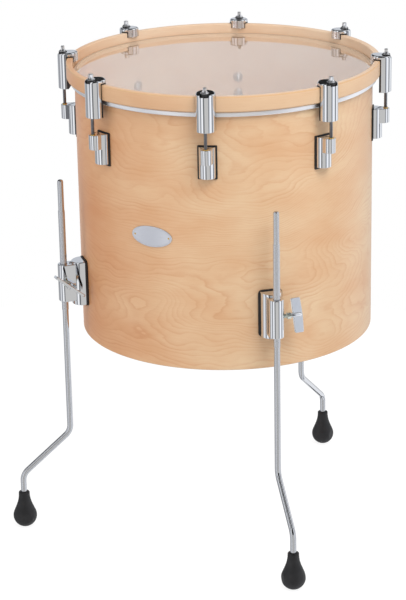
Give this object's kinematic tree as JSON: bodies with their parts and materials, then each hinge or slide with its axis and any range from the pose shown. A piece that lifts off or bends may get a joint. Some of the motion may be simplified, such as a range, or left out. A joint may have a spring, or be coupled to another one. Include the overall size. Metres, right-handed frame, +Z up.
{
  "type": "floor tom drum",
  "caption": "Deep wooden drum on bent chrome legs with rubber feet, a clear head under a claw-held wooden hoop, and an open bottom.",
  "frame": {"origin": "middle of the outline on the floor, under the three rubber feet", "axes": "+Z up from the floor; -Y towards the player, in line with the front lug; +X to the player's view right. The drum's own axis leans 3.4 degrees from +Z towards -Y, as its legs are set"},
  "size_m": [0.577, 0.6698, 0.7817],
  "materials": {
    "maple_shell": "clear lacquer over figured maple ply",
    "maple_hoop": "clear lacquer over bent maple ply",
    "head_film": "clear polyester film",
    "channel_aluminium": "satin",
    "badge_aluminium": "brushed",
    "chrome_castings": "mirror chrome on zinc castings",
    "chrome_rods": "chromed steel",
    "black_rubber": "matt"
  },
  "bodies": {
    "drum": {"shell": "maple_shell", "head_film": "head_film", "flesh_hoop": "channel_aluminium", "counter_hoop": "maple_hoop", "badge": "badge_aluminium", "claw_1": "chrome_castings", "claw_liner_1": "black_rubber", "lug_1": "chrome_castings", "lug_gasket_1": "black_rubber", "claw_2": "chrome_castings", "claw_liner_2": "black_rubber", "lug_2": "chrome_castings", "lug_gasket_2": "black_rubber", "claw_3": "chrome_castings", "claw_liner_3": "black_rubber", "lug_3": "chrome_castings", "lug_gasket_3": "black_rubber", "claw_4": "chrome_castings", "claw_liner_4": "black_rubber", "lug_4": "chrome_castings", "lug_gasket_4": "black_rubber", "claw_5": "chrome_castings", "claw_liner_5": "black_rubber", "lug_5": "chrome_castings", "lug_gasket_5": "black_rubber", "claw_6": "chrome_castings", "claw_liner_6": "black_rubber", "lug_6": "chrome_castings", "lug_gasket_6": "black_rubber", "claw_7": "chrome_castings", "claw_liner_7": "black_rubber", "lug_7": "chrome_castings", "lug_gasket_7": "black_rubber", "claw_8": "chrome_castings", "claw_liner_8": "black_rubber", "lug_8": "chrome_castings", "lug_gasket_8": "black_rubber", "leg_bracket_right": "chrome_castings", "bracket_gasket_right": "black_rubber", "leg_bracket_left": "chrome_castings", "bracket_gasket_left": "black_rubber", "leg_bracket_rear": "chrome_castings", "bracket_gasket_rear": "black_rubber"},
    "tension_rod_1": {"tension_rod_1": "chrome_rods"},
    "tension_rod_2": {"tension_rod_2": "chrome_rods"},
    "tension_rod_3": {"tension_rod_3": "chrome_rods"},
    "tension_rod_4": {"tension_rod_4": "chrome_rods"},
    "tension_rod_5": {"tension_rod_5": "chrome_rods"},
    "tension_rod_6": {"tension_rod_6": "chrome_rods"},
    "tension_rod_7": {"tension_rod_7": "chrome_rods"},
    "tension_rod_8": {"tension_rod_8": "chrome_rods"},
    "leg_right": {"leg_right": "chrome_rods", "foot_right": "black_rubber"},
    "wing_bolt_right": {"wing_bolt_right": "chrome_castings"},
    "leg_left": {"leg_left": "chrome_rods", "foot_left": "black_rubber"},
    "wing_bolt_left": {"wing_bolt_left": "chrome_castings"},
    "leg_rear": {"leg_rear": "chrome_rods", "foot_rear": "black_rubber"},
    "wing_bolt_rear": {"wing_bolt_rear": "chrome_castings"}
  },
  "joints": [
    {"name": "tension_rod_1_turn", "type": "hinge", "parent": "drum", "child": "tension_rod_1", "pos_m": [0.03019, -0.28887, 0.74414], "axis": [-0.0219, -0.0557, 0.9982], "continuous": true},
    {"name": "tension_rod_2_turn", "type": "hinge", "parent": "drum", "child": "tension_rod_2", "pos_m": [0.20603, -0.21622, 0.75205], "axis": [-0.0219, -0.0557, 0.9982], "continuous": true},
    {"name": "tension_rod_3_turn", "type": "hinge", "parent": "drum", "child": "tension_rod_3", "pos_m": [0.27878, -0.04061, 0.76344], "axis": [-0.0219, -0.0557, 0.9982], "continuous": true},
    {"name": "tension_rod_4_turn", "type": "hinge", "parent": "drum", "child": "tension_rod_4", "pos_m": [0.20581, 0.13509, 0.77164], "axis": [-0.0219, -0.0557, 0.9982], "continuous": true},
    {"name": "tension_rod_5_turn", "type": "hinge", "parent": "drum", "child": "tension_rod_5", "pos_m": [0.02988, 0.20796, 0.77185], "axis": [-0.0219, -0.0557, 0.9982], "continuous": true},
    {"name": "tension_rod_6_turn", "type": "hinge", "parent": "drum", "child": "tension_rod_6", "pos_m": [-0.14596, 0.13531, 0.76394], "axis": [-0.0219, -0.0557, 0.9982], "continuous": true},
    {"name": "tension_rod_7_turn", "type": "hinge", "parent": "drum", "child": "tension_rod_7", "pos_m": [-0.2187, -0.04031, 0.75255], "axis": [-0.0219, -0.0557, 0.9982], "continuous": true},
    {"name": "tension_rod_8_turn", "type": "hinge", "parent": "drum", "child": "tension_rod_8", "pos_m": [-0.14574, -0.21601, 0.74435], "axis": [-0.0219, -0.0557, 0.9982], "continuous": true},
    {"name": "leg_right_height", "type": "slide", "parent": "drum", "child": "leg_right", "axis": [-0.0219, -0.0557, 0.9982], "range_m": [-0.13, 0.2]},
    {"name": "wing_bolt_right_turn", "type": "hinge", "parent": "drum", "child": "wing_bolt_right", "pos_m": [0.13794, -0.26366, 0.40931], "axis": [0.9234, 0.3815, 0.0415], "continuous": true},
    {"name": "leg_left_height", "type": "slide", "parent": "drum", "child": "leg_left", "axis": [-0.0219, -0.0557, 0.9982], "range_m": [-0.1294, 0.2006]},
    {"name": "wing_bolt_left_turn", "type": "hinge", "parent": "drum", "child": "wing_bolt_left", "pos_m": [-0.20478, -0.12171, 0.4097], "axis": [0.3832, -0.9227, -0.0431], "continuous": true},
    {"name": "leg_rear_height", "type": "slide", "parent": "drum", "child": "leg_rear", "axis": [-0.0219, -0.0557, 0.9982], "range_m": [-0.0947, 0.2353]},
    {"name": "wing_bolt_rear_turn", "type": "hinge", "parent": "drum", "child": "wing_bolt_rear", "pos_m": [0.13764, 0.22026, 0.43629], "axis": [-0.9239, 0.3827, 0.0011], "continuous": true}
  ]
}
